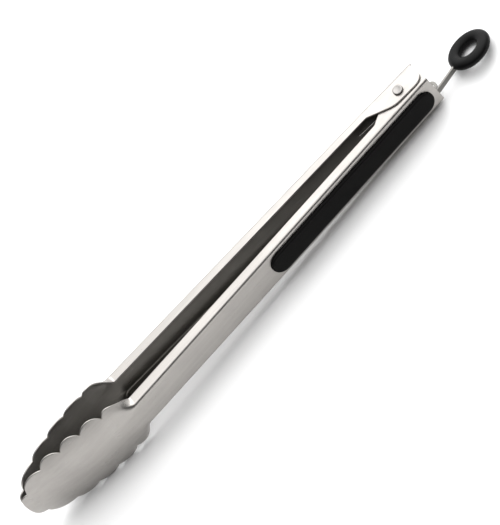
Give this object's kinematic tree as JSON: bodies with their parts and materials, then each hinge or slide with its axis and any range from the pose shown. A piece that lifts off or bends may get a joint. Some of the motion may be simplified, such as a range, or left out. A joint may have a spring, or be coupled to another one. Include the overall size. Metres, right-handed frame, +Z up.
{
  "type": "locking kitchen tongs",
  "caption": "Spring-loaded kitchen tongs: two channel arms with scalloped cupped heads, soft grip inlays, a pivot rivet with torsion spring, and a pull-ring lock slide.",
  "frame": {"origin": "under the middle of the whole object as it lies on its side, closed and locked, at the level of the lowest scallops", "axes": "+X runs along the tongs from the heads to the hanging ring, +Z is up along the pivot rivet, and the near arm lies on the -Y side"},
  "size_m": [0.3457, 0.0284, 0.0463],
  "materials": {
    "near_steel": "satin, brushed along the arm",
    "far_steel": "satin, brushed along the arm",
    "grip_rubber": "matt, fine texture",
    "rivet_steel": "turned, satin",
    "bush_steel": "turned",
    "spring_steel": "drawn wire",
    "slide_steel": "satin, stamped",
    "ring_rubber": "matt"
  },
  "bodies": {
    "near_side": {"near_arm": "near_steel", "near_grip": "grip_rubber", "pivot_rivet": "rivet_steel", "rivet_collar": "rivet_steel", "torsion_spring": "spring_steel"},
    "far_side": {"far_arm": "far_steel", "far_grip": "grip_rubber"},
    "bush": {"pivot_bush": "bush_steel"},
    "lock": {"lock_slide": "slide_steel", "hang_ring": "ring_rubber"}
  },
  "joints": [
    {"name": "arm_open", "type": "hinge", "parent": "near_side", "child": "far_side", "pos_m": [0.11843, 0, 0.02315], "axis": [0, 0, -1], "range_deg": [0, 26], "deforming": ["torsion_spring"]},
    {"name": "bush_turn", "type": "hinge", "parent": "near_side", "child": "bush", "pos_m": [0.11843, 0, 0.02315], "axis": [0, 0, -1], "range_deg": [0, 13]},
    {"name": "lock_travel", "type": "slide", "parent": "bush", "child": "lock", "axis": [1, 0, 0], "range_m": [-0.012, 0]}
  ],
  "couplings": [
    {"joint": "bush_turn", "follows": "arm_open", "ratio": 0.5},
    {"joint": "lock_travel", "follows": "arm_open", "m_per_rad": -0.02644}
  ]
}
